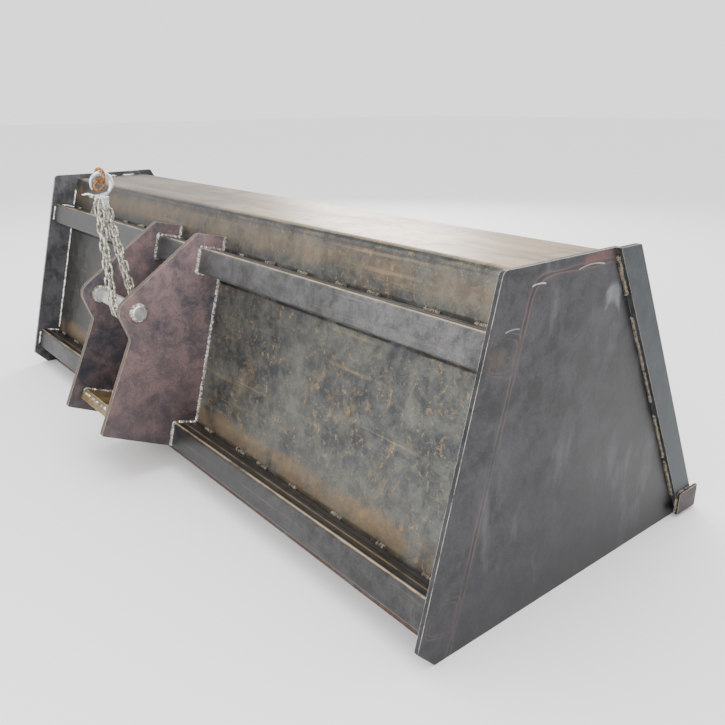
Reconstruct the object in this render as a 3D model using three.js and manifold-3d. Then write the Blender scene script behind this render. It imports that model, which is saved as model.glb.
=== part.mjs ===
// Loader bucket for a compact machine: a welded shell with two box-tube stiffeners, a pair of
// hitch ears with a pin, and the short lifting sling that is looped round the pin.
// Millimetres, +Z up, +X to the right as seen from behind, +Y forward out of the mouth.
// The bucket rests on its floor. Everything is laid out from the rear bottom corner of the end
// plates, and the finished group is centred over its footprint at the end.

import * as THREE from 'three';
import { mergeVertices } from 'three/addons/utils/BufferGeometryUtils.js';
import Module from 'manifold-3d';

const wasm = await Module();
wasm.setup();

// ---------- driving dimensions ----------
const gap = 0.3;                // clearance left between welded neighbours

const width = 1829;             // over the end plates
const endPlate = 8;             // plate thicknesses
const sheet = 6;
const earPlate = 12.7;
const lean = THREE.MathUtils.degToRad(14.6);   // rear edge, forward from vertical
const plateHeight = 592;
const plateTopRear = 154;       // forward positions of the end plate's corners
const plateTopFront = 426;
const plateToe = 752;
const plateCorner = 12;         // rounding of the top rear corner
const heelRear = 10;            // the heel corner is cut off from here ...
const heelFront = 46;           // ... to here

const backInset = 68.5;         // outer face of the back sheet, in from the rear edge
const topFace = 579.5;          // outer face of the top sheet
const topFront = 440;
const bendRadius = 14;

const tubeHeight = 57;          // stiffener tubes
const tubeInset = 11;
const tubeWall = 5;
const tubeCorner = 7;
const upperTubeFoot = 468;      // distances up the rear edge
const lowerTubeFoot = 62;

const edgeRear = 695;           // cutting edge
const edgeFront = 798;
const edgeThickness = 12;
const edgeBevel = 20;
const edgeLip = 3;

const barWidth = 50;            // flat bars down the sides of the mouth
const barThickness = 10;
const barLap = 9;
const plateRounding = 6;        // corners of the bars, corner plates and ears
const cornerPlate = { rear: 720, front: 788, foot: 7, top: 55, thickness: 6 };

const hitchCentre = -50;        // the hitch sits a little left of the middle
const hitchWidth = 228.6;       // over both ears
const pinRadius = 15.9;
const pinHole = 16.35;
const pinUp = 368;              // pin axis, up the rear edge
const pinBehind = 110.5;        // and behind it
const pinStandOut = 9.5;
const pinChamfer = 1.5;

// Lower shelf between the ears: its rear and front edge up the rear edge, and how far it stands out.
const shelf = { rearUp: 137, frontUp: 119, out: 118, thickness: 10 };
const shelfBar = { depth: 14, height: 14, overhang: 4 };

const slingX = -13;             // middle plane of the lifting sling
const strandSpacing = 18;       // between its two chain loops
const chainWidth = 16;          // over one link
const chainReach = 33;          // outside of the chain where it goes round the hitch pin
const chainTop = 14;            // and where it goes round the load pin
const chainPlay = 0.7;          // slack between the chain and a pin

const pinPlay = 0.4;            // slack round the sling's own pins
const loadPin = { y: -36, z: 604, radius: 4.5, cheek: 4.3, standOut: 1.5, chamfer: 0.8 };
const fork = { radius: 12, rear: 11, front: 14, height: 20, blend: 5 };
const hookThickness = 10;
const hookEdge = 2.5;           // rounding of the forging
const bowl = {
  y: -34,
  z: 647,
  outer: 28,
  inner: 18,
  shift: 2,                     // the inner arc stands this far behind the outer one
  outerArc: [-1.0, 3.45],       // radians, from the neck over the top to the tip
  innerArc: [3.3, -0.75],       // and back
};
const latchPin = { y: -54.5, z: 624, radius: 2, chamfer: 0.4, head: 1.2 };
const lug = { radius: 5, arc: [1.0, 5.2] };
// The latch's hub round its pin, and its points as offsets from the pin.
const latch = {
  hub: 5.4,
  hubArc: [-2.2, 1.1],
  crown: [-8, 7],
  tip: [-21.6, 10.1],
  belly: [-12, 1],
  cheek: 2.7,
};
// The capacity tag reaches this far above and below the load pin it hangs on.
const tag = { thickness: 1.6, width: 16, above: 8, below: 24, tilt: 30, standOff: 0.6 };

const linkPlay = 0.9;           // slack where the joining links bear on each other
const upperLink = { halfWidth: 15.5, length: 34, wire: 6 };
const lowerLink = { halfWidth: 10.8, length: 30, wire: 5.5, tilt: 45 };
const wireRounding = 0.28;      // edge rounding of a link, as a share of its wire

// ---------- materials ----------
function steel(color, roughness, metalness) {
  return new THREE.MeshStandardMaterial({ color, roughness, metalness });
}
const millScale = steel(0x53555a, 0.6, 0.6);
const rustedSheet = steel(0x6a6457, 0.65, 0.5);
const tubeSteel = steel(0x57544f, 0.5, 0.6);
const flameCutPlate = steel(0x5a4a4e, 0.6, 0.5);
const wearSteel = steel(0x54474a, 0.6, 0.6);
const brightSteel = steel(0xb8b8b4, 0.3, 0.9);
const zincPlate = steel(0xb9bab2, 0.4, 0.9);
const hookFinish = steel(0xe4e5e6, 0.35, 0.6);
const rustyLink = steel(0xa8692f, 0.7, 0.5);

// ---------- helpers ----------
const bucket = new THREE.Group();

function addPart(name, geometry, material) {
  const mesh = new THREE.Mesh(geometry, material);
  mesh.name = name;
  bucket.add(mesh);
  return mesh;
}

// A point given by its distance up the rear edge and its depth in from it.
function fromRearEdge(up, inward) {
  return [
    up * Math.sin(lean) + inward * Math.cos(lean),
    up * Math.cos(lean) - inward * Math.sin(lean),
  ];
}

// Closed outline through [y, z, radius] corners; a corner with a radius is rounded.
function outline(corners) {
  const shape = new THREE.Shape();
  const points = corners.map(([y, z]) => new THREE.Vector2(y, z));
  corners.forEach(([, , radius = 0], i) => {
    const here = points[i];
    const before = points[(i + points.length - 1) % points.length].clone().sub(here);
    const after = points[(i + 1) % points.length].clone().sub(here);
    const halfTurn = Math.acos(before.clone().normalize().dot(after.clone().normalize())) / 2;
    const setback = radius / Math.tan(halfTurn);
    const start = here.clone().add(before.setLength(setback));
    const finish = here.clone().add(after.setLength(setback));
    if (i === 0) shape.moveTo(start.x, start.y);
    else shape.lineTo(start.x, start.y);
    if (radius > 0) shape.quadraticCurveTo(here.x, here.y, finish.x, finish.y);
  });
  shape.closePath();
  return shape;
}

function leaningOutline(corners) {
  return outline(corners.map(([up, inward, radius]) => [...fromRearEdge(up, inward), radius]));
}

// Turns a shape drawn in (y, z) and extruded upwards so that it is extruded along X.
const yzToWorld = new THREE.Matrix4().makeBasis(
  new THREE.Vector3(0, 1, 0),
  new THREE.Vector3(0, 0, 1),
  new THREE.Vector3(1, 0, 0),
);

// Extrudes a (y, z) shape along X from x0 to x1.
function alongX(shape, x0, x1, curveSegments = 5) {
  const geometry = new THREE.ExtrudeGeometry(shape, {
    depth: x1 - x0,
    bevelEnabled: false,
    curveSegments,
  });
  return geometry.applyMatrix4(yzToWorld).translate(x0, 0, 0);
}

// The same with rounded edges, centred on the given X.
function forgedAlongX(shape, thickness, edge, middle, curveSegments = 12) {
  const geometry = new THREE.ExtrudeGeometry(shape, {
    depth: thickness - 2 * edge,
    bevelThickness: edge,
    bevelSize: edge,
    bevelOffset: -edge,
    bevelSegments: 2,
    curveSegments,
  });
  return geometry.applyMatrix4(yzToWorld).translate(middle - thickness / 2 + edge, 0, 0);
}

// A round bar along X with a small chamfer at both ends.
function barAlongX(radius, x0, x1, y, z, chamfer, sides) {
  const half = (x1 - x0) / 2;
  const profile = [
    new THREE.Vector2(0, -half),
    new THREE.Vector2(radius - chamfer, -half),
    new THREE.Vector2(radius, -half + chamfer),
    new THREE.Vector2(radius, half - chamfer),
    new THREE.Vector2(radius - chamfer, half),
    new THREE.Vector2(0, half),
  ];
  return new THREE.LatheGeometry(profile, sides)
    .rotateZ(-Math.PI / 2)
    .translate((x0 + x1) / 2, y, z);
}

function toSolid(geometry) {
  const bare = geometry.clone();
  bare.deleteAttribute('normal');
  bare.deleteAttribute('uv');
  const merged = mergeVertices(bare, 1e-4);
  return new wasm.Manifold(new wasm.Mesh({
    numProp: 3,
    vertProperties: merged.attributes.position.array,
    triVerts: merged.index.array,
  }));
}

function toGeometry(solid) {
  const mesh = solid.getMesh();
  const geometry = new THREE.BufferGeometry();
  geometry.setAttribute('position', new THREE.BufferAttribute(mesh.vertProperties, 3));
  geometry.setIndex(new THREE.BufferAttribute(mesh.triVerts, 1));
  return geometry;
}

// ---------- shell ----------
const innerHalf = width / 2 - endPlate - gap;
const backAt = (z, inward) => inward / Math.cos(lean) + z * Math.tan(lean);
const backInner = backInset + sheet;

// Back and top are one sheet, bent at the top rear corner.
addPart('shell_sheet', alongX(outline([
  [backAt(0, backInset), 0],
  [backAt(0, backInner), 0],
  [backAt(topFace - sheet, backInner), topFace - sheet, bendRadius - sheet],
  [topFront, topFace - sheet],
  [topFront, topFace],
  [backAt(topFace, backInset), topFace, bendRadius],
]), -innerHalf, innerHalf), rustedSheet);

addPart('floor_sheet', alongX(outline([
  [backAt(sheet, backInner) + gap, 0],
  [edgeRear - gap, 0],
  [edgeRear - gap, sheet],
  [backAt(sheet, backInner) + gap, sheet],
]), -innerHalf, innerHalf), millScale);

// The cutting edge fits between the end plates and widens in front of them.
function cuttingEdge() {
  const full = toSolid(alongX(outline([
    [edgeRear, 0],
    [edgeFront, 0],
    [edgeFront, edgeLip],
    [edgeFront - edgeBevel, edgeThickness],
    [edgeRear, edgeThickness],
  ]), -width / 2, width / 2));
  const notch = (x0, x1) => toSolid(
    new THREE.BoxGeometry(x1 - x0, 2 * (plateToe - edgeRear + gap), 3 * edgeThickness)
      .translate((x0 + x1) / 2, edgeRear, 0),
  );
  return toGeometry(full
    .subtract(notch(innerHalf, width))
    .subtract(notch(-width, -innerHalf)));
}
addPart('cutting_edge', cuttingEdge(), wearSteel);

// ---------- ends ----------
const frontSlope = (plateToe - plateTopFront) / plateHeight;
const acrossFront = Math.hypot(1, frontSlope);   // horizontal length of one millimetre of width
const frontAt = (z, ahead) => plateTopFront + (plateHeight - z) * frontSlope + ahead * acrossFront;

const endShape = outline([
  [heelFront, 0],
  [plateToe, 0],
  [plateTopFront, plateHeight],
  [plateTopRear, plateHeight, plateCorner],
  [heelRear, heelRear / Math.tan(lean)],
]);
const barShape = outline([
  [frontAt(0, -barLap), 0],
  [frontAt(0, barWidth - barLap), 0],
  [frontAt(plateHeight, barWidth - barLap), plateHeight, plateRounding],
  [frontAt(plateHeight, -barLap), plateHeight],
]);
const cornerShape = outline([
  [cornerPlate.rear, cornerPlate.foot],
  [cornerPlate.front, cornerPlate.foot],
  [cornerPlate.front, cornerPlate.top],
  [cornerPlate.rear, cornerPlate.top, plateRounding],
]);

for (const [side, sign] of [['left', -1], ['right', 1]]) {
  const layer = (shape, from, thickness) => {
    const ends = [sign * from, sign * (from + thickness)].sort((a, b) => a - b);
    return alongX(shape, ...ends);
  };
  const plateFace = width / 2;
  const barFace = plateFace + gap + barThickness;
  addPart(`end_plate_${side}`, layer(endShape, plateFace - endPlate, endPlate), millScale);
  addPart(`mouth_bar_${side}`, layer(barShape, plateFace + gap, barThickness), millScale);
  addPart(`corner_plate_${side}`, layer(cornerShape, barFace + gap, cornerPlate.thickness), wearSteel);
}

// ---------- stiffener tubes ----------
const tubeFront = backInset - gap;

function boxTube(foot) {
  const ring = (inset, radius) => leaningOutline([
    [foot + inset, tubeInset + inset, radius],
    [foot + inset, tubeFront - inset, radius],
    [foot + tubeHeight - inset, tubeFront - inset, radius],
    [foot + tubeHeight - inset, tubeInset + inset, radius],
  ]);
  const section = ring(0, tubeCorner);
  section.holes.push(ring(tubeWall, tubeCorner - tubeWall));
  return alongX(section, -innerHalf, innerHalf, 3);
}
addPart('upper_tube', boxTube(upperTubeFoot), tubeSteel);
addPart('lower_tube', boxTube(lowerTubeFoot), tubeSteel);

// ---------- hitch ----------
const [pinY, pinZ] = fromRearEdge(pinUp, -pinBehind);
const tubeFace = tubeInset - gap;

// Each ear is notched over both tubes and stands on the back sheet.
const earShape = leaningOutline([
  [556, tubeFront],
  [554, 0, 12],
  [370, -161, 34],
  [307, -119, 8],
  [91, -155, plateRounding],
  [lowerTubeFoot, tubeFace],
  [lowerTubeFoot + tubeHeight + gap, tubeFace],
  [lowerTubeFoot + tubeHeight + gap, tubeFront],
  [upperTubeFoot - gap, tubeFront],
  [upperTubeFoot - gap, tubeFace],
  [upperTubeFoot + tubeHeight + gap, tubeFace],
  [upperTubeFoot + tubeHeight + gap, tubeFront],
]);
const pinHolePath = new THREE.Path();
pinHolePath.absarc(pinY, pinZ, pinHole, 0, 2 * Math.PI, true);
earShape.holes.push(pinHolePath);

const hitchLeft = hitchCentre - hitchWidth / 2;
const hitchRight = hitchCentre + hitchWidth / 2;
addPart('hitch_ear_left', alongX(earShape, hitchLeft, hitchLeft + earPlate, 16), flameCutPlate);
addPart('hitch_ear_right', alongX(earShape, hitchRight - earPlate, hitchRight, 16), flameCutPlate);
addPart('hitch_pin', barAlongX(
  pinRadius, hitchLeft - pinStandOut, hitchRight + pinStandOut, pinY, pinZ, pinChamfer, 32,
), brightSteel);

// The shelf slopes down from its rear edge to the lower tube, with a square bar under that edge.
const shelfRear = new THREE.Vector2(shelf.rearUp, -shelf.out);
const shelfFront = new THREE.Vector2(shelf.frontUp, tubeFace);
const along = shelfFront.clone().sub(shelfRear).normalize();
const below = new THREE.Vector2(-along.y, along.x);
const shelfPoint = (forward, down) => shelfRear.clone()
  .addScaledVector(along, forward)
  .addScaledVector(below, down)
  .toArray();
const slab = (rear, front, top, bottom) => leaningOutline([
  shelfPoint(rear, top),
  shelfPoint(rear, bottom),
  shelfPoint(front, bottom),
  shelfPoint(front, top),
]);
const shelfX = [hitchLeft + earPlate + gap, hitchRight - earPlate - gap];
const shelfDepth = shelfFront.distanceTo(shelfRear);
const barTop = shelf.thickness + gap;
const barRear = -shelfBar.overhang;
addPart('shelf_plate', alongX(slab(0, shelfDepth, 0, shelf.thickness), ...shelfX), flameCutPlate);
addPart('shelf_bar', alongX(
  slab(barRear, barRear + shelfBar.depth, barTop, barTop + shelfBar.height), ...shelfX,
), flameCutPlate);

// ---------- lifting sling ----------
// Ring round two parallel pins, as seen along X: arcs on both pins joined by straight runs.
function belt(path, low, lowRadius, high, highRadius, clockwise) {
  const axis = Math.atan2(high.z - low.z, high.y - low.y);
  const reach = Math.hypot(high.z - low.z, high.y - low.y);
  const contact = Math.acos((lowRadius - highRadius) / reach);
  if (clockwise) {
    path.absarc(high.y, high.z, highRadius, axis + contact, axis - contact, true);
    path.absarc(low.y, low.z, lowRadius, axis - contact, axis + contact, true);
  } else {
    path.absarc(low.y, low.z, lowRadius, axis + contact, axis - contact, false);
    path.absarc(high.y, high.z, highRadius, axis - contact, axis + contact, false);
  }
  path.closePath();
  return path;
}

// Each loop of chain is kept as one band with the outer size of its links.
const hitchPin = { y: pinY, z: pinZ };
const loopShape = belt(new THREE.Shape(), hitchPin, chainReach, loadPin, chainTop, false);
loopShape.holes.push(belt(
  new THREE.Path(), hitchPin, pinRadius + chainPlay, loadPin, loadPin.radius + chainPlay, true,
));
for (const [side, sign] of [['left', -1], ['right', 1]]) {
  const middle = slingX + sign * strandSpacing / 2;
  const loop = alongX(loopShape, middle - chainWidth / 2, middle + chainWidth / 2, 14);
  addPart(`chain_loop_${side}`, loop, zincPlate);
}

// ---------- hook, latch and tag ----------
const forkHalf = strandSpacing / 2 + chainWidth / 2 + gap + loadPin.cheek;
const slingReach = 60;          // far enough to cut right through the sling's width

function pinCut(pin) {
  return toSolid(barAlongX(
    pin.radius + pinPlay, slingX - slingReach, slingX + slingReach, pin.y, pin.z, pin.chamfer, 20,
  ));
}

// The bowl stands above a fork that takes the load pin; a lug beside it carries the latch.
function hookBody() {
  const neck = loadPin.z + fork.height - fork.blend;
  const crook = new THREE.Shape();
  crook.moveTo(loadPin.y + fork.front, neck);
  crook.absarc(bowl.y, bowl.z, bowl.outer, ...bowl.outerArc, false);
  crook.absarc(bowl.y - bowl.shift, bowl.z, bowl.inner, ...bowl.innerArc, true);
  crook.absarc(latchPin.y, latchPin.z, lug.radius, ...lug.arc, false);
  crook.lineTo(loadPin.y - fork.rear + hookEdge, neck);
  crook.closePath();
  const block = new THREE.Shape();
  block.absarc(loadPin.y, loadPin.z, fork.radius, Math.PI, 2 * Math.PI, false);
  block.lineTo(loadPin.y + fork.front, loadPin.z + fork.height);
  block.lineTo(loadPin.y - fork.rear, loadPin.z + fork.height);
  block.closePath();
  const slotHeight = 60;
  const slotTop = loadPin.z + chainTop + 1;
  const slot = new THREE.BoxGeometry(2 * (forkHalf - loadPin.cheek), 6 * fork.radius, slotHeight)
    .translate(slingX, loadPin.y, slotTop - slotHeight / 2);
  return toGeometry(toSolid(forgedAlongX(block, 2 * forkHalf, hookEdge, slingX))
    .add(toSolid(forgedAlongX(crook, hookThickness, hookEdge, slingX)))
    .subtract(toSolid(slot))
    .subtract(pinCut(loadPin))
    .subtract(pinCut(latchPin)));
}
addPart('hook_body', hookBody(), hookFinish);
const tagX = slingX - forkHalf - tag.standOff;
addPart('load_pin', barAlongX(
  loadPin.radius, tagX - tag.thickness - loadPin.standOut, slingX + forkHalf + loadPin.standOut,
  loadPin.y, loadPin.z, loadPin.chamfer, 20,
), zincPlate);

// The latch is a folded tongue whose two cheeks straddle the lug.
function hookLatch() {
  const fromPin = ([back, up]) => [latchPin.y + back, latchPin.z + up];
  const tongue = new THREE.Shape();
  tongue.absarc(latchPin.y, latchPin.z, latch.hub, ...latch.hubArc, false);
  tongue.quadraticCurveTo(...fromPin(latch.crown), ...fromPin(latch.tip));
  tongue.quadraticCurveTo(
    ...fromPin(latch.belly),
    latchPin.y + latch.hub * Math.cos(latch.hubArc[0]),
    latchPin.z + latch.hub * Math.sin(latch.hubArc[0]),
  );
  tongue.closePath();
  const straddle = hookThickness / 2 + gap;
  const clearance = new THREE.BoxGeometry(2 * straddle, 3.4 * latch.hub, 4.4 * latch.hub)
    .translate(slingX, latchPin.y + 2, latchPin.z);
  return toGeometry(toSolid(alongX(
    tongue, slingX - straddle - latch.cheek, slingX + straddle + latch.cheek, 8,
  )).subtract(toSolid(clearance)).subtract(pinCut(latchPin)));
}
addPart('hook_latch', hookLatch(), zincPlate);

const latchHalf = hookThickness / 2 + gap + latch.cheek;
addPart('latch_pin', barAlongX(
  latchPin.radius, slingX - latchHalf - latchPin.head, slingX + latchHalf + latchPin.head,
  latchPin.y, latchPin.z, latchPin.chamfer, 16,
), zincPlate);

// The capacity tag hangs on the end of the load pin.
function ratingTag() {
  const half = tag.width / 2;
  const plate = outline([
    [-half, -tag.below, 2],
    [half, -tag.below, 2],
    [half, tag.above, 3],
    [-half, tag.above, 3],
  ]);
  const hole = new THREE.Path();
  hole.absarc(0, 0, loadPin.radius + pinPlay, 0, 2 * Math.PI, true);
  plate.holes.push(hole);
  return alongX(plate, tagX - tag.thickness, tagX, 6)
    .rotateX(-THREE.MathUtils.degToRad(tag.tilt))
    .translate(0, loadPin.y, loadPin.z);
}
addPart('rating_tag', ratingTag(), zincPlate);

// ---------- joining links ----------
// An oval link standing in the (y, z) plane, its top arch centred on the origin.
function ovalLink({ halfWidth, length, wire }) {
  const drop = length - 2 * halfWidth;
  const ring = (path, radius, clockwise) => {
    if (clockwise) {
      path.absarc(0, 0, radius, Math.PI, 0, true);
      path.absarc(0, -drop, radius, 0, -Math.PI, true);
    } else {
      path.absarc(0, 0, radius, 0, Math.PI, false);
      path.absarc(0, -drop, radius, Math.PI, 2 * Math.PI, false);
    }
    path.closePath();
    return path;
  };
  const link = ring(new THREE.Shape(), halfWidth, false);
  link.holes.push(ring(new THREE.Path(), halfWidth - wire, true));
  return forgedAlongX(link, wire, wire * wireRounding, 0, 8);
}

const crown = bowl.z + bowl.outer;                       // top of the hook
const upperArch = crown + linkPlay - (upperLink.halfWidth - upperLink.wire);
addPart('upper_link', ovalLink(upperLink)
  .rotateZ(Math.PI / 2)
  .translate(slingX, bowl.y, upperArch), rustyLink);

const upperFoot = upperArch + upperLink.halfWidth - upperLink.length + upperLink.wire;
const lowerArch = upperFoot + linkPlay - (lowerLink.halfWidth - lowerLink.wire);
addPart('lower_link', ovalLink(lowerLink)
  .rotateX(-THREE.MathUtils.degToRad(lowerLink.tilt))
  .translate(slingX, bowl.y, lowerArch), rustyLink);

// ---------- place the origin under the middle of the footprint ----------
const extent = new THREE.Box3().setFromObject(bucket);
const middle = extent.getCenter(new THREE.Vector3());
bucket.position.set(-middle.x, -middle.y, -extent.min.z);

export default bucket;
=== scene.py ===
# %% [markdown]
# # A welded loader bucket
# This lesson dresses a packed engineering model of a loader bucket: a steel shell with two
# box-tube stiffeners, a pair of hitch ears with a pin, and a lifting sling looped round the
# pin. The plates come from the model and only get a finish here. The small things that a
# plain model leaves out, such as weld beads, chain links and a forged hook, are built here.

# %% Load the model
import math
import random

import bmesh
import bpy
from mathutils import Color, Matrix, Quaternion, Vector


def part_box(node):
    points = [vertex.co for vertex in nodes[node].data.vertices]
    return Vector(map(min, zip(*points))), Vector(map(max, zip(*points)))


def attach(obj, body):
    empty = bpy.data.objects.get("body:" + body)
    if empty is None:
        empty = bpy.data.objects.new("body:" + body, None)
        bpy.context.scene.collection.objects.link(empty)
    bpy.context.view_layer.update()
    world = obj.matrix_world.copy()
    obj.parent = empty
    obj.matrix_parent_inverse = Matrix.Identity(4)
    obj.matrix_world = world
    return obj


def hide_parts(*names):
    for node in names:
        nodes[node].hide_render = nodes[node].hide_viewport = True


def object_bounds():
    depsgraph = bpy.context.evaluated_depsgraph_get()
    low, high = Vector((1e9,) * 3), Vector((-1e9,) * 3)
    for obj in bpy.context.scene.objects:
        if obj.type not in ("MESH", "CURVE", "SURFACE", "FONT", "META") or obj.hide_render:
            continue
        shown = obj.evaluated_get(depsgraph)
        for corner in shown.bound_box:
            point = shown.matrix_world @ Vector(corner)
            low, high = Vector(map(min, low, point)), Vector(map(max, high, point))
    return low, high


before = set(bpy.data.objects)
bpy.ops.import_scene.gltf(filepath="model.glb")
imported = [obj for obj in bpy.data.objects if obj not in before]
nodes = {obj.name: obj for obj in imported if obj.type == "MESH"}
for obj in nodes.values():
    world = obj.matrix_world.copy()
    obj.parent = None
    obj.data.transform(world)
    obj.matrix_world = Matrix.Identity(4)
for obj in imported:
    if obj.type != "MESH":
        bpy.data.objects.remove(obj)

cad_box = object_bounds()
print("nodes:", len(nodes), "box:", [round(side, 3) for side in cad_box[1] - cad_box[0]])

# %% [markdown]
# ## Camera and stage
# The bucket is a low, wide thing, so it is seen from behind its right-hand end, a little
# above the rim, with a fairly wide lens. The stage is a pale floor that runs off into a
# white surround. A large soft light hangs overhead, and another stands beyond the bucket
# so that the top sheet shines back at the camera as rolled steel does in a workshop.

# %% Camera
camera_data = bpy.data.cameras.new("camera")
camera_data.sensor_width = 36
camera_data.lens = 36.67
camera = bpy.data.objects.new("camera", camera_data)
bpy.context.scene.collection.objects.link(camera)
bpy.context.scene.camera = camera
camera.location = (1.5467, -0.9421, 0.8078)
camera_aim = Vector((0.30405, 0.06931, 0.23971))
camera_roll = math.radians(-0.37)
looking = (camera_aim - camera.location).to_track_quat("-Z", "Y")
camera.rotation_mode = "QUATERNION"
camera.rotation_quaternion = looking @ Quaternion((0, 0, 1), camera_roll)
print("camera to aim:", round((camera_aim - camera.location).length, 2), "m")


# %% Lights and surround
def soft_light(name, place, aim, size, watts, tint=(1, 1, 1)):
    """A square soft box that isn't seen itself."""
    data = bpy.data.lights.new(name, "AREA")
    data.shape = "SQUARE"
    data.size = size
    data.energy = watts
    data.color = tint
    lamp = bpy.data.objects.new(name, data)
    lamp.location = place
    lamp.rotation_euler = (Vector(aim) - Vector(place)).to_track_quat("-Z", "Y").to_euler()
    lamp.visible_camera = False
    bpy.context.scene.collection.objects.link(lamp)
    print(name, "light:", watts, "W")


soft_light("overhead", place=(0.3, -0.2, 3.6), aim=(0, 0, 0.3), size=2.6, watts=90)
soft_light("far_side", place=(-2.9, 2.9, 1.95), aim=(0, 0.1, 0.5), size=1.3, watts=115,
           tint=(1.0, 0.95, 0.88))
soft_light("near_side", place=(1.9, -2.7, 1.5), aim=(0.7, -0.2, 0.25), size=1.6, watts=62)

world = bpy.data.worlds.new("surround")
world.use_nodes = True
world.node_tree.nodes["Background"].inputs["Color"].default_value = (1, 1, 1, 1)
world.node_tree.nodes["Background"].inputs["Strength"].default_value = 1.7
bpy.context.scene.world = world

# %% [markdown]
# ## Small helpers for the finishes
# A procedural finish is a graph of nodes. It could be drawn in the shader editor, but a few
# helpers that add a node, fill or link its inputs and hand back its output keep the graphs
# short to write and easy to change.


# %% Colours and nodes
def paint(text):
    """A hex colour as it is seen, turned into the linear colour that shaders use."""
    red, green, blue = (int(text[i:i + 2], 16) / 255 for i in (0, 2, 4))
    return (*Color((red, green, blue)).from_srgb_to_scene_linear(), 1)


def add(tree, kind, inputs=None, **settings):
    """Adds a node; an input is a number, a vector, a colour or another node's output."""
    node = tree.nodes.new(kind)
    for key, value in settings.items():
        setattr(node, key, value)
    for key, value in (inputs or {}).items():
        if isinstance(value, bpy.types.NodeSocket):
            tree.links.new(value, node.inputs[key])
        else:
            node.inputs[key].default_value = value
    return node


def mix(tree, share, first, second, way="MIX"):
    """Mixes two colours; the colour sockets of a Mix node are numbers 6 and 7, and 2 out."""
    return add(tree, "ShaderNodeMix", {0: share, 6: first, 7: second}, data_type="RGBA",
               blend_type=way).outputs[2]


def dim(tree, colour, share):
    """A colour times a number."""
    grey = add(tree, "ShaderNodeCombineColor", {i: share for i in range(3)})
    return mix(tree, 1.0, colour, grey.outputs[0], "MULTIPLY")


print("a grey seen as 50% is", round(paint("808080")[0], 3), "in linear light")


# %% Arithmetic
def calc(tree, operation, *values):
    return add(tree, "ShaderNodeMath", dict(enumerate(values)), operation=operation).outputs[0]


def calc3(tree, operation, first, second):
    """Arithmetic on two vectors; a dot product and a distance come out as a number."""
    node = add(tree, "ShaderNodeVectorMath", {0: first, 1: second}, operation=operation)
    return node.outputs["Value" if operation in ("DOT_PRODUCT", "DISTANCE") else "Vector"]


def off(tree, value, wanted):
    """How far a value is from the wanted one."""
    return calc(tree, "ABSOLUTE", calc(tree, "SUBTRACT", value, wanted))


def parts(tree, vector):
    """The outputs X, Y and Z of a vector."""
    return add(tree, "ShaderNodeSeparateXYZ", {0: vector}).outputs


def rescale(tree, value, low, high, new_low=0.0, new_high=1.0, step="LINEAR"):
    """Carries low to new_low and high to new_high, and stays there beyond them."""
    return add(tree, "ShaderNodeMapRange",
               {0: value, 1: low, 2: high, 3: new_low, 4: new_high},
               interpolation_type=step).outputs[0]


def between(tree, value, low, high):
    """0 below low, 1 above high, and a smooth step in between."""
    return rescale(tree, value, low, high, step="SMOOTHSTEP")


def clouds(tree, vector, scale, detail=4.0, rough=0.6, warp=0.0):
    """A soft noise value at so many cells to the metre."""
    return add(tree, "ShaderNodeTexNoise", {
        "Vector": vector, "Scale": scale, "Detail": detail, "Roughness": rough,
        "Distortion": warp,
    }).outputs[0]


# %% Node groups
VECTOR, COLOUR, VALUE = "NodeSocketVector", "NodeSocketColor", "NodeSocketFloat"


def new_group(name, build, inputs, outputs):
    """A node group with named sockets; build works out the value of each output."""
    tree = bpy.data.node_groups.new(name, "ShaderNodeTree")
    for way, sockets in (("INPUT", inputs), ("OUTPUT", outputs)):
        for label, kind in sockets.items():
            tree.interface.new_socket(label, in_out=way, socket_type=kind)
    given = tree.nodes.new("NodeGroupInput").outputs
    result = tree.nodes.new("NodeGroupOutput").inputs
    for label, value in build(tree, given).items():
        tree.links.new(value, result[label])
    print("group:", name, len(tree.nodes), "nodes")
    return tree


def use(tree, group, **inputs):
    """Adds a shared group to a graph; its inputs go by their names."""
    return add(tree, "ShaderNodeGroup", inputs, node_tree=group).outputs


# %% [markdown]
# ## Mill scale
# Hot-rolled steel leaves the mill with a skin of blue-grey scale, cloudy and slightly
# grainy. A single noise would look like smoke, so broad patches, a mottle seven times
# finer and a fine grain are added up, and the same values drive roughness and bump. It is
# a node group, so that every plate can use it with colours of its own.


# %% Mill scale
def scale_nodes(tree, given):
    place = given["Vector"]
    patches = clouds(tree, place, given["Patches"], 7, 0.66, 1.1)
    mottle = clouds(tree, place, calc(tree, "MULTIPLY", given["Patches"], 7.0), 6, 0.72, 0.4)
    cloudy = calc(tree, "MULTIPLY", between(tree, patches, 0.38, 0.62), 0.5)
    cloudy = calc(tree, "MULTIPLY_ADD", between(tree, mottle, 0.38, 0.62), 0.5, cloudy)
    grain = clouds(tree, place, given["Grain"], 3, 0.7)
    base = mix(tree, cloudy, given["Dark"], given["Light"])
    rough = calc(tree, "MULTIPLY_ADD", cloudy, 0.16, 0.34)
    return {"Color": dim(tree, base, rescale(tree, grain, 0.3, 0.7, 0.78, 1.22)),
            "Roughness": calc(tree, "MULTIPLY_ADD", grain, 0.12, rough),
            "Height": calc(tree, "MULTIPLY_ADD", grain, 0.35, patches)}


mill_scale = new_group(
    "Mill scale", scale_nodes,
    {"Vector": VECTOR, "Dark": COLOUR, "Light": COLOUR, "Patches": VALUE, "Grain": VALUE},
    {"Color": COLOUR, "Roughness": VALUE, "Height": VALUE})

# %% [markdown]
# ## Rust, stains and smears
# Damp steel blooms with tan rust in ragged patches, and sheets that are dragged over one
# another pick up long smears. Both could be painted by hand. A noise cut off at a level
# gives ragged patches of any size for nothing, and a noise stretched along one axis gives
# smears. A third group mixes the tan that the rusty patches and the small chips share.


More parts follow.
